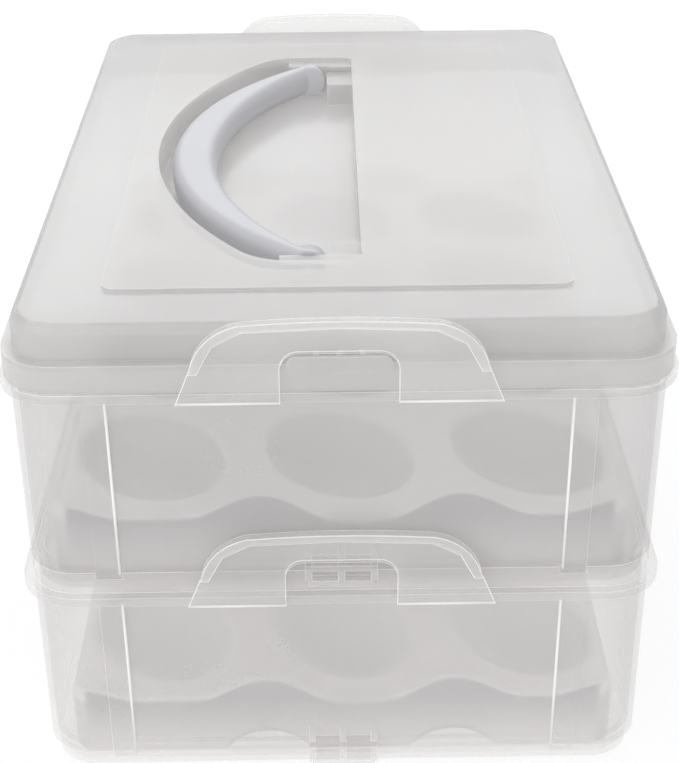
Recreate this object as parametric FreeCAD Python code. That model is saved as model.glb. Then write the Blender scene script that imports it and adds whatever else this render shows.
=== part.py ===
import FreeCAD, Part
import math
import os

# Two-layer egg carrier of clear moulded plastic, in millimetres.
# X runs across the carrier, Y along it, Z up. The front end faces -Y.
# The origin is the middle of the underside.

V = FreeCAD.Vector
UP = V(0, 0, 1)
ALONG = V(0, 1, 0)
ACROSS = V(1, 0, 0)

# Plan of the carrier, measured over the flanges
carrier_width = 200.0
carrier_length = 288.0
corner_radius = 18.0

# Container, from its foot up
foot_height = 8.0
body_height = 61.0
flange_thickness = 3.0
rim_height = 7.5
floor_thickness = 2.0
wall = 1.8
flange_overhang = 3.0
foot_clearance = 0.5
foot_chamfer = 1.6

# Upright ribs on the end walls, whose lower tips key into the rim below
rib_offset = 71.25
rib_width = 7.5
rib_proud_at_flange = 1.5
rib_proud_at_foot = 0.7
key_depth = 2.0
key_clearance = 0.4

# Catch low on each end wall: fins and bars that the latch below hooks over
catch_half_width = 11.0
catch_fin = 2.0
catch_bar = 1.9
catch_low = 6.2
catch_ramp = 5.2
catch_proud = 1.2
catch_clearance = 0.4

# Latch flaps
latch_half_width = 47.3
latch_shoulder_half_width = 42.5
latch_shoulder_height = 12.0
latch_shoulder_bulge = 3.2
latch_crown_half_width = 28.0
latch_height = 27.5
latch_crown_rise = 1.1
latch_thickness = 1.5
latch_gap = 0.3
hinge_bevel = 0.4
lip_width = 2.4
lip_depth = 1.6
lip_start = 11.0
notch_half_width = 17.0
notch_height = 16.5
notch_corner = 5.5

# Lid
lid_wall = 1.5
lid_side_clearance = 0.3
lid_rim_clearance = 0.2
lid_ledge_wall = 1.1
lid_ledge = 3.4
lid_height = 19.7
lid_edge_radius = 3.0
panel_rise = 1.0
panel_half_width = 70.0
panel_end_margin = 27.0
panel_corner = 4.0
tongue_side_gap = 2.0
tongue_height = 5.2
tongue_plate = 1.4
tongue_fin = 1.6
tongue_fin_spacing = 6.5

# Handle, measured from its pivot axis
pivot_x = -8.8
handle_span = 91.0
handle_reach = 48.9
handle_width = 15.7
handle_tip = 4.4
handle_thickness = 11.0
handle_bevel = 2.4
handle_floor_gap = 0.8
boss_step = 0.1
boss_length = 6.0
pin_radius = 2.4
pin_length = 4.0
pin_clearance = 0.2
pin_end_clearance = 0.5

# Recess in the lid that the handle lies in
recess_gap = 4.5
recess_end_gap = 7.5
recess_end_reach = 23.6
recess_depth = 12.5
recess_side = 7.5
recess_shoulder = 20.0
recess_corner = 4.0
lug_gap = 0.4
lug_reach = 9.0
lug_drop = 1.5
cheek_length = 15.0
cheek_gap = 0.8
cheek_drop = 4.0

# Egg trays
tray_clearance = 3.5
tray_height = 21.0
tray_wall = 1.8
tray_corner = 8.0
hump_rise = 7.5
hump_half_width = 17.0
hump_length = 12.0
hump_shift = 6.0
corner_rise = 6.0
arch_half_width = 13.75
arch_height = 7.5
cup_columns = 3
cup_rows = 4
cup_side_margin = 28.4
cup_end_margin = 37.4
cup_gap_x = 17.0
cup_gap_y = 6.0
cup_tilt = 55.0
cup_depth = 13.0
cup_facets = 12
cup_rings = 2
cup_last_turn = 68.0
pod_facets = 8
pod_taper = 0.74

# Sizes that follow
half_width = carrier_width / 2
half_length = carrier_length / 2
flange_z = foot_height + body_height
flange_top_z = flange_z + flange_thickness
rim_top_z = flange_top_z + rim_height
rim_inner = flange_overhang + wall
foot_inset = rim_inner + foot_clearance
layer_pitch = rim_top_z - foot_height
lid_z = layer_pitch + flange_top_z
lid_top = lid_height + panel_rise
latch_inner = half_length + latch_gap
latch_outer = latch_inner + latch_thickness
catch_face = latch_outer + catch_proud
catch_top = notch_height - catch_clearance
lid_setback = flange_overhang - lid_wall - lid_side_clearance
lid_skirt_height = rim_height + lid_rim_clearance + lid_ledge_wall
tongue_half_width = notch_half_width - tongue_side_gap
boss_radius = handle_thickness / 2 - boss_step
recess_reach = handle_reach - pivot_x + recess_gap
recess_half_length = handle_span + recess_end_gap
recess_bulge = recess_reach - recess_end_reach
recess_radius = (recess_half_length ** 2 + recess_bulge ** 2) / (2 * recess_bulge)
cheek_start = handle_span - cheek_length
recess_floor = lid_top - recess_depth
pivot_z = recess_floor + handle_floor_gap + handle_thickness / 2
tray_half_x = half_width - foot_inset - wall - tray_clearance
tray_half_y = half_length - foot_inset - wall - tray_clearance
cup_pitch_x = 2 * (tray_half_x - cup_side_margin) / (cup_columns - 1)
cup_pitch_y = 2 * (tray_half_y - cup_end_margin) / (cup_rows - 1)
cup_length = cup_pitch_y - cup_gap_y
cup_width = cup_pitch_x - cup_gap_x


# Plan outline: straight sides and round corners

corner_x = half_width - corner_radius
corner_y = half_length - corner_radius


def outline(inset, z):
    """Closed wire of the plan outline, moved inwards by inset, at height z."""
    side_x = half_width - inset
    end_y = half_length - inset
    bend = (corner_radius - inset) * math.sqrt(0.5)

    def corner(sx, sy):
        side = V(sx * side_x, sy * corner_y, z)
        middle = V(sx * (corner_x + bend), sy * (corner_y + bend), z)
        end = V(sx * corner_x, sy * end_y, z)
        return side, middle, end

    front_right, rear_right = corner(1, -1), corner(1, 1)
    rear_left, front_left = corner(-1, 1), corner(-1, -1)
    edges = [
        Part.LineSegment(front_right[0], rear_right[0]),
        Part.Arc(rear_right[0], rear_right[1], rear_right[2]),
        Part.LineSegment(rear_right[2], rear_left[2]),
        Part.Arc(rear_left[2], rear_left[1], rear_left[0]),
        Part.LineSegment(rear_left[0], front_left[0]),
        Part.Arc(front_left[0], front_left[1], front_left[2]),
        Part.LineSegment(front_left[2], front_right[2]),
        Part.Arc(front_right[2], front_right[1], front_right[0]),
    ]
    return Part.Wire([edge.toShape() for edge in edges])


def swept_wall(section):
    """Sweep a wall section round the outline. Its edges lie in (inset, height)."""
    start = V(half_width, -corner_y, 0)
    face = Part.Face(section)
    face.rotate(V(0, 0, 0), ACROSS, 90)
    face.translate(start)
    return outline(0, 0).makePipe(face)


def section_wire(points):
    """Closed wire through (inset, height) points, with inset towards -X."""
    corners = [V(-inset, height, 0) for inset, height in points]
    return Part.makePolygon(corners + corners[:1])


def slab(inset, low, high):
    """Flat plate with the plan outline moved in by inset, from height low to high."""
    return Part.Face(outline(inset, low)).extrude(V(0, 0, high - low))


def box(x0, x1, y0, y1, z0, z1):
    """Box between two corners."""
    return Part.makeBox(x1 - x0, y1 - y0, z1 - z0, V(x0, y0, z0))


def moved(shape, x, y, z):
    """Copy of a shape moved by x, y and z."""
    copy = shape.copy()
    copy.translate(V(x, y, z))
    return copy


def turned(shape):
    """Copy of a shape turned half round the middle, from front to rear."""
    copy = shape.copy()
    copy.rotate(V(0, 0, 0), UP, 180)
    return copy


def both_ends(shapes):
    """The shapes at the front end and their twins at the rear."""
    return shapes + [turned(shape) for shape in shapes]


def rounded_prism(half_x, half_y, radius, low, high):
    """Upright prism with a rectangular plan and round corners."""
    prism = box(-half_x, half_x, -half_y, half_y, low, high)
    upright = [edge for edge in prism.Edges if edge.BoundBox.ZLength > (high - low) / 2]
    return prism.makeFillet(radius, upright)


# Container

def container_shell():
    """Foot, body, flange and rim as one section swept round the plan, with the floor."""
    foot_inner = foot_inset + wall
    section = section_wire([
        (foot_inset + foot_chamfer, 0),
        (foot_inset, foot_chamfer),
        (foot_inset, foot_height),
        (flange_overhang, foot_height),
        (flange_overhang, flange_z),
        (0, flange_z),
        (0, flange_top_z),
        (flange_overhang, flange_top_z),
        (flange_overhang, rim_top_z),
        (rim_inner, rim_top_z),
        (rim_inner, foot_height + floor_thickness),
        (foot_inner, foot_height + floor_thickness),
        (foot_inner, 0),
    ])
    return swept_wall(section).fuse(slab(foot_inner, 0, floor_thickness))


def end_rib(x):
    """Upright rib on the front end wall, ending in a key just under the shoulder."""
    near_flange = -half_length + flange_overhang - rib_proud_at_flange
    near_foot = -half_length + flange_overhang - rib_proud_at_foot
    buried = -half_length + flange_overhang + wall / 2
    key_back = -half_length + foot_inset + wall / 2
    key_z = foot_height - key_depth
    left = x - rib_width / 2
    side = [
        V(left, near_flange, flange_z),
        V(left, near_foot, foot_height),
        V(left, near_foot + key_depth / 2, key_z),
        V(left, key_back, key_z),
        V(left, key_back, foot_height),
        V(left, buried, foot_height + wall),
        V(left, buried, flange_z),
    ]
    return Part.Face(Part.makePolygon(side + side[:1])).extrude(V(rib_width, 0, 0))


def key_notch(x):
    """Notch in the front rim for the key of the container above."""
    reach = rib_width / 2 + key_clearance
    low = rim_top_z - key_depth - key_clearance
    return box(x - reach, x + reach, -half_length, -half_length + foot_inset, low, rim_top_z + wall)


def container_catch():
    """Catch at the front: three fins joined by two bars, proud of the latch that grips it."""
    grip_z = foot_height - rim_height - flange_thickness + catch_top
    wall_y = -half_length + flange_overhang + wall / 2
    side = [
        V(0, wall_y, grip_z + catch_ramp),
        V(0, -half_length, grip_z),
        V(0, -catch_face, grip_z),
        V(0, -catch_face, catch_low + catch_bar),
        V(0, -catch_face + catch_bar, catch_low),
        V(0, -half_length + flange_overhang - latch_gap, catch_low),
        V(0, -half_length + flange_overhang - latch_gap, foot_height),
        V(0, wall_y, foot_height),
    ]
    fin = Part.Face(Part.makePolygon(side + side[:1])).extrude(V(catch_fin, 0, 0))
    spacing = catch_half_width - catch_fin / 2
    pieces = [moved(fin, x - catch_fin / 2, 0, 0) for x in (-spacing, 0, spacing)]
    back = -half_length + flange_overhang - latch_gap
    pieces.append(box(-spacing, spacing, -catch_face, back, catch_low, catch_low + catch_bar))
    pieces.append(box(-spacing, spacing, -catch_face, wall_y, grip_z - catch_bar, grip_z))
    return pieces


def make_container():
    """One container, standing at z = 0. Both layers use the same moulding."""
    ribs = [end_rib(x) for x in (-rib_offset, rib_offset)]
    notches = [key_notch(x) for x in (-rib_offset, rib_offset)]
    container = container_shell().multiFuse(both_ends(ribs + container_catch()))
    return container.cut(Part.Compound(both_ends(notches))).removeSplitter()


# Latch

def latch_corner(sign):
    """Points up one side of the flap: base, shoulder, bulge of the shoulder, crown."""
    shoulder_rise = latch_height - latch_crown_rise - latch_shoulder_height
    shoulder_run = latch_shoulder_half_width - latch_crown_half_width
    chord = math.hypot(shoulder_run, shoulder_rise)
    bulge_x = latch_shoulder_half_width - shoulder_run / 2 + latch_shoulder_bulge * shoulder_rise / chord
    bulge_z = latch_shoulder_height + shoulder_rise / 2 + latch_shoulder_bulge * shoulder_run / chord
    return [
        V(sign * latch_half_width, 0, 0),
        V(sign * latch_shoulder_half_width, 0, latch_shoulder_height),
        V(sign * bulge_x, 0, bulge_z),
        V(sign * latch_crown_half_width, 0, latch_height - latch_crown_rise),
    ]


def latch_outline():
    """Outline of the flap in the XZ plane: leaning sides, round shoulders, slightly arched top."""
    left, right = latch_corner(-1), latch_corner(1)
    edges = [
        Part.LineSegment(right[0], right[1]),
        Part.Arc(right[1], right[2], right[3]),
        Part.Arc(right[3], V(0, 0, latch_height), left[3]),
        Part.Arc(left[3], left[2], left[1]),
        Part.LineSegment(left[1], left[0]),
        Part.LineSegment(left[0], right[0]),
    ]
    return Part.Wire([edge.toShape() for edge in edges])


def latch_notch():
    """Cutter for the opening that the catch reaches through."""
    depth = latch_outer + lip_depth
    block = box(-notch_half_width, notch_half_width, -2 * depth, 0, -notch_height, notch_height)
    upper = [
        edge for edge in block.Edges
        if edge.BoundBox.YLength > depth and edge.BoundBox.ZMin > notch_height / 2
    ]
    return block.makeFillet(notch_corner, upper)


def make_latch():
    """Front flap, closed, with its flange's underside at z = 0."""
    plan = latch_outline()
    flap = moved(Part.Face(plan).extrude(V(0, -latch_thickness, 0)), 0, -latch_inner, 0)
    hinge_edges = [edge for edge in flap.Edges if edge.BoundBox.ZMax < hinge_bevel and edge.Length > latch_half_width]
    flap = flap.makeChamfer(hinge_bevel, hinge_edges)
    corners = latch_corner(1) + [V(0, 0, latch_height)] + latch_corner(-1)[::-1]
    inside = Part.Face(Part.makePolygon(corners + corners[:1]).makeOffset2D(-lip_width, 2))
    lip = Part.Face(plan).cut(inside).extrude(V(0, -lip_depth, 0))
    lip = moved(lip, 0, -latch_outer, 0)
    lip = lip.cut(box(-half_width, half_width, -2 * latch_outer, 0, -latch_height, lip_start))
    return flap.fuse(lip).cut(latch_notch()).removeSplitter()


# Handle

def crescent(z):
    """Plan of the handle: two arcs that bulge to -X, joined by a short edge at each tip."""
    span, tip = handle_span, handle_tip
    inner_reach = handle_reach - handle_width
    edges = [
        Part.Arc(V(-tip, -span, z), V(-handle_reach, 0, z), V(-tip, span, z)),
        Part.LineSegment(V(-tip, span, z), V(tip, span, z)),
        Part.Arc(V(tip, span, z), V(-inner_reach, 0, z), V(tip, -span, z)),
        Part.LineSegment(V(tip, -span, z), V(-tip, -span, z)),
    ]
    return Part.Wire([edge.toShape() for edge in edges])


def tip_slope():
    """Sine of the angle at which the outer arc meets the short edge at a tip."""
    bulge = handle_reach - handle_tip
    radius = (handle_span ** 2 + bulge ** 2) / (2 * bulge)
    return (radius - bulge) / radius


def make_handle():
    """Bail handle lying down, with its pivot axis along Y at x = 0 and z = 0."""
    half = handle_thickness / 2
    bevel = min(handle_bevel, handle_tip * tip_slope())
    bail = Part.Face(crescent(-half)).extrude(V(0, 0, handle_thickness))
    long_edges = [edge for edge in bail.Edges if edge.BoundBox.ZLength < half and edge.Length > handle_span]
    bail = bail.makeChamfer(bevel, long_edges)
    pieces = []
    for sign in (-1, 1):
        outwards = V(0, sign, 0)
        inner = V(0, sign * (handle_span - boss_length), 0)
        pieces.append(Part.makeCylinder(boss_radius, boss_length, inner, outwards))
        pieces.append(Part.makeCylinder(pin_radius, pin_length, V(0, sign * handle_span, 0), outwards))
    return bail.multiFuse(pieces).removeSplitter()


# Lid

def recess_solid(grow, low, high):
    """D-shaped block round the folded handle, grown outwards by grow."""
    side = recess_side + grow
    end = recess_half_length + grow
    disc = Part.makeCylinder(recess_radius + grow, high - low, V(recess_radius - recess_reach, 0, low))
    block = disc.common(box(-half_width, side, -end, end, low, high))
    upright = [edge for edge in block.Edges if edge.BoundBox.ZLength > (high - low) / 2]
    block = block.makeFillet(recess_shoulder + grow, [edge for edge in upright if edge.BoundBox.XMax < 0])
    upright = [edge for edge in block.Edges if edge.BoundBox.ZLength > (high - low) / 2]
    return block.makeFillet(recess_corner + grow, [edge for edge in upright if edge.BoundBox.XMin > side - 1])


def pivot_lug(sign):
    """Lug beyond one tip of the handle for its pin to turn in, with a cheek beside the tip."""
    low = recess_floor - lid_wall / 2
    right = recess_side + lid_wall / 2
    near, far = handle_span + lug_gap, recess_half_length + lid_wall
    y0, y1 = sorted((sign * near, sign * far))
    lug = box(pivot_x - lug_reach, right, y0, y1, low, lid_top - lug_drop)
    cheek_x = pivot_x + handle_thickness / 2 + cheek_gap
    y0, y1 = sorted((sign * cheek_start, sign * far))
    return lug.fuse(box(cheek_x, right, y0, y1, low, lid_top - cheek_drop))


def pivot_bore(sign):
    """Blind bore for one pin of the handle."""
    length = pin_length + pin_end_clearance - lug_gap
    return Part.makeCylinder(
        pin_radius + pin_clearance, length, V(pivot_x, sign * (handle_span + lug_gap), pivot_z), V(0, sign, 0)
    )


def lid_catch():
    """Tongue on the front of the lid's skirt: a rounded plate held off by fins, for the latch to hook over."""
    top = catch_top - flange_thickness
    low = top - tongue_height
    plate_back = -catch_face + tongue_plate
    skirt_y = -half_length + lid_setback + lid_wall / 2
    plate = box(-tongue_half_width, tongue_half_width, -catch_face, plate_back, low, top)
    across = [edge for edge in plate.Edges if edge.BoundBox.YLength > tongue_plate / 2]
    pieces = [plate.makeFillet(tongue_height / 2 - tongue_height / 100, across)]
    for x in (-tongue_fin_spacing, 0, tongue_fin_spacing):
        pieces.append(box(x - tongue_fin / 2, x + tongue_fin / 2, plate_back, skirt_y, low, top))
    reach = tongue_half_width - tongue_height / 2
    pieces.append(box(-reach, reach, plate_back, skirt_y, low, low + tongue_fin))
    return pieces


def make_lid():
    """Lid with its skirt's lower edge at z = 0."""
    tier = lid_setback + lid_ledge
    shoulder = lid_skirt_height
    under = lid_height - lid_wall
    bend = tier + lid_edge_radius
    cut = lid_edge_radius * (1 - math.sqrt(0.5))
    section = section_wire([
        (bend, lid_height),
        (bend, under),
        (tier + lid_wall, under - lid_edge_radius / 2),
        (tier + lid_wall, shoulder - lid_ledge_wall),
        (lid_setback + lid_wall, shoulder - lid_ledge_wall),
        (lid_setback + lid_wall, 0),
        (lid_setback, 0),
        (lid_setback, shoulder),
        (tier, shoulder),
        (tier, lid_height - lid_edge_radius),
        (tier + cut, lid_height - cut),
    ])
    lid = swept_wall(section).fuse(slab(bend, under, lid_height))

    panel_half_length = half_length - panel_end_margin
    panel = rounded_prism(panel_half_width, panel_half_length, panel_corner, under + lid_wall / 2, lid_top)
    lid = lid.fuse(panel)

    pocket = recess_solid(lid_wall, recess_floor - lid_wall, lid_top - lid_wall / 2)
    hole = recess_solid(0, recess_floor, lid_top + 1)
    lid = lid.fuse(pocket).cut(hole)

    lugs = [pivot_lug(sign).common(pocket) for sign in (-1, 1)]
    bores = [pivot_bore(sign) for sign in (-1, 1)]
    lid = lid.multiFuse(lugs + both_ends(lid_catch())).cut(Part.Compound(bores))
    return lid.removeSplitter()


# Egg tray

def ring(facets, long_half, short_half, z):
    """Corners of an oval ring of facets, long axis along X."""
    turns = [2 * math.pi * (index + 0.5) / facets for index in range(facets)]
    return [V(long_half * math.cos(turn), short_half * math.sin(turn), z) for turn in turns]


def stacked(rings):
    """Solid bounded by flat facets between stacked rings of corners."""
    faces = [Part.Face(Part.makePolygon(end + end[:1])) for end in (rings[0], rings[-1])]
    for upper, lower in zip(rings, rings[1:]):
        for index in range(len(upper)):
            after = (index + 1) % len(upper)
            corners = [upper[index], upper[after], lower[after], lower[index]]
            faces.append(Part.Face(Part.makePolygon(corners + corners[:1])))
    return Part.Solid(Part.Shell(faces))


def cup_hollow(top):
    """Bowl-shaped hollow of one cup, carried up to the height top."""
    long_half, short_half = cup_length / 2, cup_width / 2
    last_turn = math.radians(cup_last_turn)
    rings = [ring(cup_facets, long_half, short_half, top)]
    for step in range(cup_rings + 1):
        turn = last_turn * step / cup_rings
        share = math.cos(turn)
        z = tray_height - cup_depth * math.sin(turn) / math.sin(last_turn)
        rings.append(ring(cup_facets, long_half * share, short_half * share, z))
    return stacked(rings)


def cup_pod():
    """Tapered underside of one cup, a wall's thickness or more outside the hollow."""
    swell = 1 / math.cos(math.pi / pod_facets)
    long_half = (cup_length / 2 + tray_wall) * swell
    short_half = (cup_width / 2 + tray_wall) * swell
    return stacked([
        ring(pod_facets, long_half, short_half, tray_height),
        ring(pod_facets, long_half * pod_taper, short_half * pod_taper, tray_height - cup_depth - tray_wall),
    ])


def placed_cups(shape):
    """Copies of one cup's shape at every place in the tray."""
    copies = []
    for column in range(cup_columns):
        for row in range(cup_rows):
            x = (column - (cup_columns - 1) / 2) * cup_pitch_x
            y = (row - (cup_rows - 1) / 2) * cup_pitch_y
            copy = shape.copy()
            copy.rotate(V(0, 0, 0), UP, -cup_tilt)
            copy.translate(V(x, y, 0))
            copies.append(copy)
    return copies


def hump(x, rise, inset):
    """Hump in the tray's front edge at x, sinking into the tray's top further in."""
    radius = (rise ** 2 + hump_half_width ** 2) / (2 * rise)
    slope = math.atan2(rise, hump_length)
    start = V(x, -tray_half_y, tray_height + rise - radius / math.cos(slope))
    axis = V(0, math.cos(slope), -math.sin(slope))
    return Part.makeCylinder(radius - inset, radius + 2 * hump_length, start - axis * radius, axis)


def make_tray():
    """Egg tray standing at z = 0."""
    top_limit = tray_height + hump_rise + 1
    hump_spots = [-cup_pitch_x / 2 + hump_shift, cup_pitch_x / 2 + hump_shift]
    corner_spots = [-tray_half_x, tray_half_x]
    outside = rounded_prism(tray_half_x, tray_half_y, tray_corner, 0, tray_height)
    bounds = rounded_prism(tray_half_x, tray_half_y, tray_corner, 0, top_limit)
    humps = [hump(x, hump_rise, 0).common(bounds) for x in hump_spots]
    humps += [hump(x, corner_rise, 0).common(bounds) for x in corner_spots]
    inner_x, inner_y = tray_half_x - tray_wall, tray_half_y - tray_wall
    inner_corner = tray_corner - tray_wall
    inside = rounded_prism(inner_x, inner_y, inner_corner, 0, tray_height - tray_wall)
    inner_bounds = rounded_prism(inner_x, inner_y, inner_corner, 0, top_limit)
    dents = [hump(x, hump_rise, tray_wall).common(inner_bounds) for x in hump_spots]
    tray = outside.multiFuse(both_ends(humps)).cut(inside.multiFuse(both_ends(dents)))
    tray = tray.multiFuse(placed_cups(cup_pod())).cut(Part.Compound(placed_cups(cup_hollow(top_limit))))

    arch_radius = (arch_height ** 2 + arch_half_width ** 2) / (2 * arch_height)
    arches = [
        Part.makeCylinder(arch_radius, 2 * tray_wall, V(x, -tray_half_y - tray_wall / 2, arch_height - arch_radius), ALONG)
        for x in hump_spots
    ]
    return tray.cut(Part.Compound(both_ends(arches))).removeSplitter()


# Whole carrier

def make_carrier():
    """Every piece at its place, by node name."""
    container = make_container()
    latch = make_latch()
    tray = moved(make_tray(), 0, 0, floor_thickness)
    upper_flange_z = layer_pitch + flange_z
    return {
        "lower_container": container,
        "upper_container": moved(container, 0, 0, layer_pitch),
        "lid": moved(make_lid(), 0, 0, lid_z),
        "handle": moved(make_handle(), pivot_x, 0, lid_z + pivot_z),
        "lower_egg_tray": tray,
        "upper_egg_tray": moved(tray, 0, 0, layer_pitch),
        "lower_latch_front": moved(latch, 0, 0, flange_z),
        "lower_latch_rear": moved(turned(latch), 0, 0, flange_z),
        "upper_latch_front": moved(latch, 0, 0, upper_flange_z),
        "upper_latch_rear": moved(turned(latch), 0, 0, upper_flange_z),
    }


os.makedirs("parts", exist_ok=True)
for name, shape in make_carrier().items():
    shape.exportStep(os.path.join("parts", name + ".step"))
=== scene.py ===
import math

import bmesh
import bpy
from mathutils import Matrix, Vector


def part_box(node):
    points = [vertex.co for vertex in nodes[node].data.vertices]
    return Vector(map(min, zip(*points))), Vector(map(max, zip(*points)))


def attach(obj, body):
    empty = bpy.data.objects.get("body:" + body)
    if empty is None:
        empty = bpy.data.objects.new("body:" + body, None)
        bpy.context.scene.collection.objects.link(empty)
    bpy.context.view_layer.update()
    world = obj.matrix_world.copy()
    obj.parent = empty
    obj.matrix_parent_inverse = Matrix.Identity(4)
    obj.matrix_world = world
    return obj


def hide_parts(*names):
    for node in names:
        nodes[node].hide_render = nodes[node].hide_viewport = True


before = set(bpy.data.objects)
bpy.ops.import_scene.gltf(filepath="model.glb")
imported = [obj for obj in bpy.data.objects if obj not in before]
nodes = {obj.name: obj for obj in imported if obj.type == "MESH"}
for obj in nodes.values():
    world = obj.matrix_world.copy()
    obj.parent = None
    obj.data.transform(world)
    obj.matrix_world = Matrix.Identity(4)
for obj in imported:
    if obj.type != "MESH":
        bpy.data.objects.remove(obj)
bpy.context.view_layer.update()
scene = bpy.context.scene

MM = 0.001


# Plastics: close tones in slow clouds, with a fine waviness in gloss and surface

CLOUD_SCALE, CLOUD_DETAIL = 9.0, 2.0
CLOUD_STOPS = (0.35, 0.65)
GRAIN_SCALE, GRAIN_DETAIL = 900.0, 1.0
GRAIN_STRENGTH, GRAIN_DEPTH = 0.02, 0.0004
ROUGHNESS_SPREAD = 0.04
PLASTIC_IOR = 1.49
SCATTER_RADIUS = (0.008, 0.0078, 0.0075)
GLOW_TINT = (1.0, 0.99, 0.98, 1)


def add_node(tree, kind, values, links, **settings):
    """New shader node with its settings, its input values and the links into its inputs."""
    node = tree.nodes.new("ShaderNode" + kind)
    for setting, value in settings.items():
        setattr(node, setting, value)
    for socket, value in values.items():
        node.inputs[socket].default_value = value
    for socket, source in links.items():
        tree.links.new(source, node.inputs[socket])
    return node


def plastic(name, tone, shade, alpha, roughness, subsurface=0.0, glow=0.0):
    """Moulded plastic in two close tones; glow is painted light, an emission standing in for the light that
    milky plastic lets through.
    """
    material = bpy.data.materials.new(name)
    material.use_nodes = True
    tree = material.node_tree
    shader = tree.nodes["Principled BSDF"]
    place = add_node(tree, "TexCoord", {}, {}).outputs["Object"]
    clouds = add_node(tree, "TexNoise", {"Scale": CLOUD_SCALE, "Detail": CLOUD_DETAIL}, {"Vector": place})
    ramp = add_node(tree, "ValToRGB", {}, {"Fac": clouds.outputs["Fac"]})
    for stop, position, colour in zip(ramp.color_ramp.elements, CLOUD_STOPS, (shade, tone)):
        stop.position = position
        stop.color = (*colour, 1)
    fine = add_node(tree, "TexNoise", {"Scale": GRAIN_SCALE, "Detail": GRAIN_DETAIL}, {"Vector": place})
    grain = fine.outputs["Fac"]
    limits = {"To Min": roughness - ROUGHNESS_SPREAD, "To Max": roughness + ROUGHNESS_SPREAD}
    gloss = add_node(tree, "MapRange", limits, {"Value": grain})
    waves = {"Strength": GRAIN_STRENGTH, "Distance": GRAIN_DEPTH}
    relief = add_node(tree, "Bump", waves, {"Height": grain})
    tree.links.new(ramp.outputs["Color"], shader.inputs["Base Color"])
    tree.links.new(gloss.outputs["Result"], shader.inputs["Roughness"])
    tree.links.new(relief.outputs["Normal"], shader.inputs["Normal"])
    shader.inputs["Alpha"].default_value = alpha
    shader.inputs["IOR"].default_value = PLASTIC_IOR
    shader.inputs["Subsurface Weight"].default_value = subsurface
    shader.inputs["Subsurface Radius"].default_value = SCATTER_RADIUS
    shader.inputs["Subsurface Scale"].default_value = 1.0
    shader.inputs["Emission Color"].default_value = GLOW_TINT
    shader.inputs["Emission Strength"].default_value = glow
    # The glow is too faint to be worth sampling as a lamp, which would nearly double the render time.
    material.cycles.emission_sampling = "NONE"
    return material


WALL_TONES = ((0.88, 0.855, 0.84), (0.84, 0.815, 0.80))
EDGE_HIGHLIGHT_TONES = ((0.97, 0.96, 0.95), (0.94, 0.93, 0.92))
LID_TONES = ((0.65, 0.635, 0.625), (0.62, 0.605, 0.595))
LATCH_TONES = ((0.92, 0.90, 0.88), (0.88, 0.86, 0.84))
LIP_TONES = ((0.95, 0.94, 0.92), (0.92, 0.91, 0.89))
TRAY_TONES = ((0.82, 0.80, 0.79), (0.79, 0.77, 0.76))
HANDLE_TONES = ((0.62, 0.62, 0.65), (0.60, 0.60, 0.63))
LID_GLOW = 0.06

wall_plastic = plastic("milky_wall", *WALL_TONES, alpha=0.30, roughness=0.20)
# The edge plastic is denser, as a thin wall seen edge-on is, and paler and glowing: a painted highlight.
wall_edge_highlight = plastic("milky_wall_edge", *EDGE_HIGHLIGHT_TONES, alpha=0.85, roughness=0.20, glow=0.18)
# The lower container's plastic is the wall plastic with painted light: a faint glow, brightest near its
# foot.
foot_lit_plastic = plastic("milky_foot", *WALL_TONES, alpha=0.30, roughness=0.20)
# The lid's glow is painted light, stronger on its lower part.
lid_plastic = plastic("milky_lid", *LID_TONES, alpha=0.60, roughness=0.25, subsurface=1.0, glow=LID_GLOW)
latch_plastic = plastic("milky_latch", *LATCH_TONES, alpha=0.24, roughness=0.12)
# The lip plastic is partly its thicker plastic, partly a painted highlight: paler, with a faint glow.
latch_lip_and_highlight = plastic("milky_latch_lip", *LIP_TONES, alpha=0.34, roughness=0.12, glow=0.05)
# The trays' glow is painted light inside the carrier; the lower tray, deeper inside, gets a brighter copy.
tray_plastic = plastic("milky_tray", *TRAY_TONES, alpha=1.0, roughness=0.28, glow=0.10)
low_tray_lit_plastic = plastic("milky_low_tray", *TRAY_TONES, alpha=1.0, roughness=0.28, glow=0.18)
# The handle's glow is painted light that lifts its shaded sides.
handle_plastic = plastic("white_handle", *HANDLE_TONES, alpha=1.0, roughness=0.42, glow=0.06)


def coordinates(tree):
    """Sockets with the X, Y and Z of a point on the piece."""
    place = next(node for node in tree.nodes if node.type == "TEX_COORD")
    return add_node(tree, "SeparateXYZ", {}, {"Vector": place.outputs["Object"]}).outputs


def paint_light_below(material, low, high, glow, rest):
    """Paints light on what lies below low: a glow standing in for the light inside the plastic, fading to
    rest at high.
    """
    tree = material.node_tree
    height = coordinates(tree)["Z"]
    limits = {"From Min": high, "From Max": low, "To Min": rest, "To Max": glow}
    fade = add_node(tree, "MapRange", limits, {"Value": height})
    tree.links.new(fade.outputs["Result"], tree.nodes["Principled BSDF"].inputs["Emission Strength"])


# Painted light: a stronger glow near the lower container's foot and on the lid's lower part.
paint_light_below(foot_lit_plastic, 0.0036, 0.012, 0.18, 0.035)
paint_light_below(lid_plastic, 0.150, 0.1515, 0.13, LID_GLOW)


# CAD nodes that stay in view: their plastic, softened edges with a painted highlight, and the lips of the
# latches

WELD_REACH = 0.000002
EDGE_WIDTH = 0.0005
EDGE_ANGLE = math.radians(50)
EDGE_HIGHLIGHT_INDEX, LIP_INDEX = 1, 2
LIP_MARGIN = 0.0001


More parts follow.
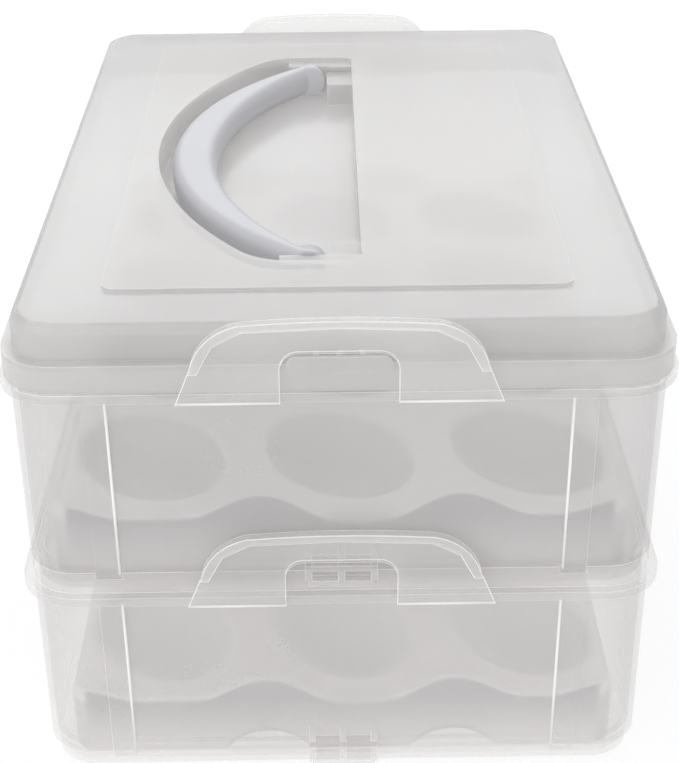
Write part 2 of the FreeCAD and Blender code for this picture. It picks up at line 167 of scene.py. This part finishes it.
def dress(node, material):
    """Gives a CAD node its plastic, and softened edges of the edge plastic, whose paler tone and glow paint
    a highlight along them.
    """
    piece = nodes[node]
    piece.data.materials.clear()
    piece.data.materials.append(material)
    piece.data.materials.append(wall_edge_highlight)
    weld = piece.modifiers.new("weld", "WELD")
    weld.merge_threshold = WELD_REACH
    bevel = piece.modifiers.new("bevel", "BEVEL")
    bevel.width = EDGE_WIDTH
    bevel.segments = 2
    bevel.limit_method = "ANGLE"
    bevel.angle_limit = EDGE_ANGLE
    bevel.material = EDGE_HIGHLIGHT_INDEX
    piece.modifiers.new("normals", "WEIGHTED_NORMAL")


def dress_lip(node):
    """Gives the outermost face of a latch, the front of its lip, a denser plastic, paler and faintly
    glowing as a painted highlight.
    """
    mesh = nodes[node].data
    mesh.materials.append(latch_lip_and_highlight)
    lip_face = max(abs(corner[1]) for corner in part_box(node))
    for face in mesh.polygons:
        if abs(face.center.y) > lip_face - LIP_MARGIN:
            face.material_index = LIP_INDEX


dress("lower_container", foot_lit_plastic)
dress("upper_container", wall_plastic)
dress("lid", lid_plastic)
for node in nodes:
    if "latch" in node:
        dress(node, latch_plastic)
        dress_lip(node)


# Building blocks for the pieces made here

def join_rings(build, ring, following):
    """Quads between two rings of the same number of points."""
    for k in range(len(ring)):
        after = (k + 1) % len(ring)
        build.faces.new((ring[k], following[k], following[after], ring[after]))


def close_bar(build, rings):
    """Skin over a row of rings, with a flat face at both ends."""
    for ring, following in zip(rings, rings[1:]):
        join_rings(build, ring, following)
    build.faces.new(rings[0])
    build.faces.new(rings[-1])


def finished_mesh(build, name, material):
    """Mesh of what was built, in one material, its four-sided faces shaded smooth."""
    bmesh.ops.recalc_face_normals(build, faces=build.faces)
    mesh = bpy.data.meshes.new(name)
    build.to_mesh(mesh)
    build.free()
    mesh.materials.append(material)
    for face in mesh.polygons:
        face.use_smooth = len(face.vertices) == 4
    return mesh


def new_piece(name, mesh):
    piece = bpy.data.objects.new(name, mesh)
    scene.collection.objects.link(piece)
    return piece


# Egg trays, in millimetres: a plate with waved ends and twelve leaning bowls, and a skirt round it

TRAY_HALF_X, TRAY_HALF_Y = 89.4, 133.4
TRAY_PLATE = 21.0
TRAY_CORNER = 8.0
TRAY_ROUND = 2.5
TRAY_WALL = 1.6
LOWER_TRAY_FOOT, UPPER_TRAY_FOOT = 2.0, 73.5
WAVE_RISE, WAVE_HALF, WAVE_DEPTH, WAVE_FALL = 8.6, 23.0, 12.0, 1.3
WAVE_SPOTS = (-24.5, 36.5)
CORNER_RISE = 6.0
DIP_DEPTH, DIP_SPOT, DIP_HALF = 1.6, 6.0, 30.0
ARCH_HALF, ARCH_HEIGHT = 13.75, 7.5
ARCH_INSETS = (0.0, 0.5, 1.3)
CUP_PITCH_X, CUP_PITCH_Y = 61.0, 64.0
CUP_LONG, CUP_SHORT, CUP_DEPTH = 29.0, 22.0, 13.0
CUP_LEAN = math.radians(-55)
CUP_ROUND = 1.8
GRID_STEP = 1.8
RIM_STEPS = (0.0, 0.12, 0.45, 0.95, 1.6, 2.5, 3.6)
SKIRT_STEPS = 5
SKIRT_SHADE, CUP_SHADE = 0.70, 0.28
SHADE_COLOUR = (0.0, 0.0, 0.02, 1)


def shade_tray(material):
    """Paints shade on a tray: darkens its upright skirt, more so towards its upper edge, and what lies
    below its plate.
    """
    tree = material.node_tree
    shader = tree.nodes["Principled BSDF"]
    plain = shader.inputs["Base Color"].links[0].from_socket
    plate = TRAY_PLATE * MM
    parts = coordinates(tree)
    near_side = []
    for axis, half in (("X", TRAY_HALF_X * MM), ("Y", TRAY_HALF_Y * MM)):
        size = add_node(tree, "Math", {}, {0: parts[axis]}, operation="ABSOLUTE")
        limits = {"From Min": half - 0.0008, "From Max": half - 0.0001}
        near_side.append(add_node(tree, "MapRange", limits, {"Value": size.outputs[0]}).outputs["Result"])
    on_skirt = add_node(tree, "Math", {}, dict(enumerate(near_side)), operation="MAXIMUM")
    limits = {
        "From Min": 0.2 * plate, "From Max": plate,
        "To Min": 0.2 * SKIRT_SHADE, "To Max": SKIRT_SHADE,
    }
    skirt = add_node(tree, "MapRange", limits, {"Value": parts["Z"]})
    limits = {"From Min": 0.99 * plate, "From Max": 0.92 * plate, "To Max": CUP_SHADE}
    bowl = add_node(tree, "MapRange", limits, {"Value": parts["Z"]})
    links = {0: on_skirt.outputs[0], 2: bowl.outputs["Result"], 3: skirt.outputs["Result"]}
    amount = add_node(tree, "Mix", {}, links)
    links = {0: amount.outputs[0], 6: plain}
    mix = add_node(tree, "Mix", {7: SHADE_COLOUR}, links, data_type="RGBA")
    tree.links.new(mix.outputs[2], shader.inputs["Base Color"])


def smooth_min(a, b, reach):
    """The lower of a and b, rounded over where they come within reach of each other."""
    near = max(reach - abs(a - b), 0.0) / reach
    return min(a, b) - near * near * reach / 4


def swell(distance, half):
    """1 at no distance, easing to 0 at half."""
    return (1 - min(distance / half, 1.0) ** 2) ** 2


def tray_top(x, y):
    """Height of the tray's upper surface at x, y."""
    fade = max(1 - (TRAY_HALF_Y - abs(y)) / WAVE_DEPTH, 0.0) ** WAVE_FALL
    along = x if y < 0 else -x
    z = TRAY_PLATE + CORNER_RISE * swell(TRAY_HALF_X - abs(x), WAVE_HALF) * fade
    for spot in WAVE_SPOTS:
        z += WAVE_RISE * swell(abs(along - spot), WAVE_HALF) * fade
    z -= DIP_DEPTH * swell(abs(along - DIP_SPOT), DIP_HALF) * fade
    column = min(max(round(x / CUP_PITCH_X), -1), 1) * CUP_PITCH_X
    row = (min(max(math.floor(y / CUP_PITCH_Y), -2), 1) + 0.5) * CUP_PITCH_Y
    dx, dy = x - column, y - row
    u = dx * math.cos(CUP_LEAN) + dy * math.sin(CUP_LEAN)
    v = -dx * math.sin(CUP_LEAN) + dy * math.cos(CUP_LEAN)
    out = math.hypot(u / CUP_LONG, v / CUP_SHORT)
    return smooth_min(z, TRAY_PLATE + CUP_DEPTH * (out ** 3 - 1), CUP_ROUND)


def grid_lines(half, extra=()):
    """Line positions across the tray, closer together near both edges."""
    inner = half - RIM_STEPS[-1]
    count = math.ceil(2 * inner / GRID_STEP)
    lines = [half - d for d in RIM_STEPS] + [d - half for d in RIM_STEPS]
    lines += [-inner + 2 * inner * k / count for k in range(1, count)]
    return sorted(set(round(line, 4) for line in lines + list(extra)))


def rounded_place(x, y):
    """Moves a point of the plain rectangle so that its corners come out round."""
    cx, cy = TRAY_HALF_X - TRAY_CORNER, TRAY_HALF_Y - TRAY_CORNER
    if abs(x) <= cx or abs(y) <= cy:
        return x, y
    u, v = (abs(x) - cx) / TRAY_CORNER, (abs(y) - cy) / TRAY_CORNER
    px = cx + TRAY_CORNER * u * math.sqrt(1 - v * v / 2)
    py = cy + TRAY_CORNER * v * math.sqrt(1 - u * u / 2)
    return math.copysign(px, x), math.copysign(py, y)


def skirt_foot(x, y):
    """Height of the skirt's lower edge: 0, or the arch's edge under each wave."""
    if abs(y) < TRAY_HALF_Y - 0.01:
        return 0.0
    along = x if y < 0 else -x
    radius = (ARCH_HEIGHT ** 2 + ARCH_HALF ** 2) / (2 * ARCH_HEIGHT)
    for spot in WAVE_SPOTS:
        off = abs(along - spot)
        if off < ARCH_HALF:
            return math.sqrt(radius ** 2 - off ** 2) - (radius - ARCH_HEIGHT)
    return 0.0


def tray_mesh(material):
    arch_lines = [
        sign * (spot + side * (ARCH_HALF - inset))
        for sign in (-1, 1) for spot in WAVE_SPOTS for side in (-1, 1) for inset in ARCH_INSETS
    ]
    xs = grid_lines(TRAY_HALF_X, arch_lines)
    ys = grid_lines(TRAY_HALF_Y)
    build = bmesh.new()
    grid = []
    for y in ys:
        line = []
        for x in xs:
            inside = min(TRAY_HALF_X - abs(x), TRAY_HALF_Y - abs(y))
            near = max(TRAY_ROUND - inside, 0.0)
            z = tray_top(x, y) - (TRAY_ROUND - math.sqrt(TRAY_ROUND ** 2 - near ** 2))
            px, py = rounded_place(x, y)
            line.append(build.verts.new((px * MM, py * MM, z * MM)))
        grid.append(line)
    for lower, upper in zip(grid, grid[1:]):
        for k in range(len(xs) - 1):
            build.faces.new((lower[k], lower[k + 1], upper[k + 1], upper[k]))
    last_x, last_y = len(xs) - 1, len(ys) - 1
    border = [(0, k) for k in range(last_x)] + [(k, last_x) for k in range(last_y)]
    border += [(last_y, last_x - k) for k in range(last_x)] + [(last_y - k, 0) for k in range(last_y)]
    ring = [grid[row][column] for row, column in border]
    feet = [skirt_foot(xs[column], ys[row]) * MM for row, column in border]
    above = ring
    for step in range(1, SKIRT_STEPS + 1):
        below = []
        for vert, foot in zip(ring, feet):
            z = vert.co.z + (foot - vert.co.z) * step / SKIRT_STEPS
            below.append(build.verts.new((vert.co.x, vert.co.y, z)))
        join_rings(build, above, below)
        above = below
    return finished_mesh(build, "egg_tray", material)


def add_tray(name, foot, material):
    shade_tray(material)
    piece = new_piece(name + "_skin", tray_mesh(material))
    piece.location.z = foot * MM
    shell = piece.modifiers.new("wall", "SOLIDIFY")
    shell.thickness = TRAY_WALL * MM
    shell.offset = -1
    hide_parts(name)
    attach(piece, "carrier")


add_tray("lower_egg_tray", LOWER_TRAY_FOOT, low_tray_lit_plastic)
add_tray("upper_egg_tray", UPPER_TRAY_FOOT, tray_plastic)


# Handle: a crescent with a rounded section, bosses and pins, in millimetres from its pivot axis

HANDLE_SPAN, HANDLE_REACH = 91.0, 48.9
HANDLE_WIDTH, HANDLE_TIP = 15.7, 4.4
HANDLE_HALF = 5.5
HANDLE_ROUND, ROUND_SHARE = 4.2, 0.48
BOSS_START, BOSS_END, BOSS_RADIUS, BOSS_EDGE = 85.0, 90.9, 5.4, 0.8
PIN_START, PIN_END, PIN_RADIUS, PIN_EDGE = 90.0, 95.0, 2.4, 0.4
PIVOT_X, PIVOT_Z = -8.8, 158.0
HALF_STEPS = 48
CORNER_STEPS = 8
BAR_SIDES = 40
EDGE_TURNS = (0.5, 1.05, 1.57)


def arc_point(reach, tip, share):
    """Point on an arc of the crescent: -reach in its middle, tip at its ends, share from -1 to 1."""
    bulge = reach + tip
    radius = (HANDLE_SPAN ** 2 + bulge ** 2) / (2 * bulge)
    turn = math.asin(HANDLE_SPAN / radius) * share
    return Vector((radius - reach - radius * math.cos(turn), radius * math.sin(turn)))


def handle_section(width):
    """Rounded outline across the handle, width wide and twice HANDLE_HALF high."""
    reach = min(HANDLE_ROUND, width * ROUND_SHARE)
    centres = (
        (width - reach, HANDLE_HALF - reach),
        (reach, HANDLE_HALF - reach),
        (reach, reach - HANDLE_HALF),
        (width - reach, reach - HANDLE_HALF),
    )
    points = []
    for quarter, (cx, cz) in enumerate(centres):
        for step in range(CORNER_STEPS + 1):
            turn = math.pi / 2 * (quarter + step / CORNER_STEPS)
            points.append((cx + reach * math.cos(turn), cz + reach * math.sin(turn)))
    return points


def add_round_bar(build, start, end, radius, edge):
    """Round bar along Y with its edge softened at end, centred on x = 0."""
    out = math.copysign(1, end - start)
    rings = [(start, radius), (end - out * edge, radius)]
    for turn in EDGE_TURNS:
        rings.append((end - out * edge * (1 - math.sin(turn)), radius - edge * (1 - math.cos(turn))))
    loops = []
    for y, reach in rings:
        loop = []
        for k in range(BAR_SIDES):
            turn = k * 2 * math.pi / BAR_SIDES
            loop.append(build.verts.new((reach * math.cos(turn) * MM, y * MM, reach * math.sin(turn) * MM)))
        loops.append(loop)
    close_bar(build, loops)


def add_handle():
    build = bmesh.new()
    loops = []
    for step in range(2 * HALF_STEPS + 1):
        share = -1 + step / HALF_STEPS
        outer = arc_point(HANDLE_REACH, -HANDLE_TIP, share)
        inner = arc_point(HANDLE_REACH - HANDLE_WIDTH, HANDLE_TIP, share)
        across = outer - inner
        width = across.length
        across.normalize()
        loops.append([
            build.verts.new(((inner.x + across.x * p) * MM, (inner.y + across.y * p) * MM, z * MM))
            for p, z in handle_section(width)
        ])
    close_bar(build, loops)
    for side in (-1, 1):
        add_round_bar(build, side * BOSS_START, side * BOSS_END, BOSS_RADIUS, BOSS_EDGE)
        add_round_bar(build, side * PIN_START, side * PIN_END, PIN_RADIUS, PIN_EDGE)
    bmesh.ops.remove_doubles(build, verts=build.verts, dist=1e-6)
    piece = new_piece("handle_bail_skin", finished_mesh(build, "handle", handle_plastic))
    piece.location = (PIVOT_X * MM, 0, PIVOT_Z * MM)
    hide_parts("handle")
    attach(piece, "handle_bail")


add_handle()


# Rounded edges of the end ribs and of the latches' feet, which catch the light: slim rods of the glowing
# edge plastic paint that highlight, in millimetres

RIB_EDGE_X = 67.5
RIB_FOOT_Y, RIB_FOOT_Z = 141.7, 8.0
RIB_TOP_Y, RIB_TOP_Z = 142.5, 69.0
HINGE_Y, HINGE_Z = 145.2, 69.45
HINGE_START, HINGE_END = 17.2, 46.8
ROD_ROUND = 0.38
ROD_SIDES = 12
LAYER_PITCH = 71.5


def rods_mesh(name, spans):
    """Slim rods from start to end of each span."""
    build = bmesh.new()
    for start, end in spans:
        start, end = Vector(start) * MM, Vector(end) * MM
        turn = (end - start).to_track_quat("Z", "Y").to_matrix().to_4x4()
        bmesh.ops.create_cone(
            build, cap_ends=True, segments=ROD_SIDES,
            radius1=ROD_ROUND * MM, radius2=ROD_ROUND * MM, depth=(end - start).length,
            matrix=Matrix.Translation((start + end) / 2) @ turn,
        )
    return finished_mesh(build, name, wall_edge_highlight)


def add_rib_highlights(layer, lift):
    """A rod sunk into the inner edge of each of a container's four end ribs, a painted highlight along it.
    """
    x = RIB_EDGE_X + ROD_ROUND / 2
    spans = [
        ((side * x, end * RIB_FOOT_Y, RIB_FOOT_Z + lift), (side * x, end * RIB_TOP_Y, RIB_TOP_Z + lift))
        for side in (-1, 1) for end in (-1, 1)
    ]
    name = layer + "_rib_edges"
    piece = new_piece(name, rods_mesh(name, spans))
    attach(piece, "carrier")


def add_latch_highlights(latch, end, lift):
    """A rod sunk into each half of a latch's lower edge, beside its notch, a painted highlight along it."""
    y, z = end * HINGE_Y, HINGE_Z + lift
    spans = [((side * HINGE_START, y, z), (side * HINGE_END, y, z)) for side in (-1, 1)]
    name = latch + "_edges"
    piece = new_piece(name, rods_mesh(name, spans))
    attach(piece, latch + "_flap")


for layer, lift in (("lower", 0.0), ("upper", LAYER_PITCH)):
    add_rib_highlights(layer, lift)
    add_latch_highlights(layer + "_latch_front", -1, lift)
    add_latch_highlights(layer + "_latch_rear", 1, lift)


# Camera, with its angles in degrees

def add_camera(place, pitch, yaw, roll, lens):
    pitch, yaw, roll = (math.radians(angle) for angle in (pitch, yaw, roll))
    forward = Vector((math.sin(yaw) * math.cos(pitch), math.cos(yaw) * math.cos(pitch), -math.sin(pitch)))
    level = Vector((math.cos(yaw), -math.sin(yaw), 0))
    upright = level.cross(forward)
    right = math.cos(roll) * level + math.sin(roll) * upright
    up = -math.sin(roll) * level + math.cos(roll) * upright
    data = bpy.data.cameras.new("camera")
    data.lens = lens
    data.sensor_width = 36
    data.clip_start = 0.01
    data.clip_end = 50
    camera = bpy.data.objects.new("camera", data)
    scene.collection.objects.link(camera)
    turn = Matrix((right, up, -forward)).transposed().to_4x4()
    camera.matrix_world = Matrix.Translation(place) @ turn
    scene.camera = camera


add_camera((-0.0025, -0.549, 0.3725), pitch=29.09, yaw=0.35, roll=-0.6, lens=76.9)


# Floor, world and lamps

FLOOR_SIZE, FLOOR_DROP = 12, 0.0005
FLOOR_COLOUR = (0.8, 0.8, 0.8, 1)
FLOOR_GLOW = 0.80
SHADOW_COLOUR = (0.26, 0.26, 0.26, 1)
SKY_COLOUR, SKY_STRENGTH = (0.97, 0.98, 1.0, 1), 0.66
WHITE = (1, 1, 1, 1)


def add_floor():
    """Plain matte floor, which seen, mirrored or through plastic is near white and keeps shadows."""
    bpy.ops.mesh.primitive_plane_add(size=FLOOR_SIZE, location=(0, 0, -FLOOR_DROP))
    floor = bpy.context.object
    floor.name = "floor"
    material = bpy.data.materials.new("floor")
    material.use_nodes = True
    tree = material.node_tree
    tree.nodes.clear()
    ray = add_node(tree, "LightPath", {}, {}).outputs
    links = {0: ray["Is Camera Ray"], 1: ray["Is Glossy Ray"]}
    seen = add_node(tree, "Math", {}, links, operation="MAXIMUM")
    links = {0: seen.outputs[0], 1: ray["Is Transmission Ray"]}
    shown = add_node(tree, "Math", {}, links, operation="MAXIMUM")
    matte = add_node(tree, "BsdfDiffuse", {"Color": FLOOR_COLOUR}, {})
    glow = add_node(tree, "Emission", {"Color": WHITE, "Strength": FLOOR_GLOW}, {})
    shadowed = add_node(tree, "BsdfDiffuse", {"Color": SHADOW_COLOUR}, {})
    pale = add_node(tree, "AddShader", {}, {0: glow.outputs[0], 1: shadowed.outputs[0]})
    mix = add_node(tree, "MixShader", {}, {0: shown.outputs[0], 1: matte.outputs[0], 2: pale.outputs[0]})
    add_node(tree, "OutputMaterial", {}, {"Surface": mix.outputs[0]})
    floor.data.materials.append(material)


def add_world():
    """Soft even light, with white behind the object where the camera sees past the floor."""
    world = bpy.data.worlds.new("world")
    scene.world = world
    world.use_nodes = True
    tree = world.node_tree
    tree.nodes.clear()
    soft = add_node(tree, "Background", {"Color": SKY_COLOUR, "Strength": SKY_STRENGTH}, {})
    white = add_node(tree, "Background", {"Color": WHITE, "Strength": 1.0}, {})
    ray = add_node(tree, "LightPath", {}, {}).outputs
    links = {0: ray["Is Camera Ray"], 1: soft.outputs[0], 2: white.outputs[0]}
    mix = add_node(tree, "MixShader", {}, links)
    add_node(tree, "OutputWorld", {}, {"Surface": mix.outputs[0]})


def add_area(name, place, target, size, power):
    data = bpy.data.lights.new(name, "AREA")
    data.shape = "RECTANGLE"
    data.size, data.size_y = size
    data.energy = power
    lamp = bpy.data.objects.new(name, data)
    scene.collection.objects.link(lamp)
    aim = Vector(target) - Vector(place)
    lamp.rotation_mode = "QUATERNION"
    lamp.rotation_quaternion = aim.to_track_quat("-Z", "Y")
    lamp.location = place


add_floor()
add_world()
add_area("key", place=(-0.4, -0.2, 1.2), target=(0, 0, 0.1), size=(1.2, 0.3), power=1)
add_area("front", place=(-0.5, -1.3, 0.42), target=(0, 0, 0.08), size=(1.4, 0.6), power=4.7)
add_area("back", place=(0.0, 1.2, 0.8), target=(0, 0, 0.1), size=(1.2, 0.5), power=5)

scene.view_settings.view_transform = "Standard"
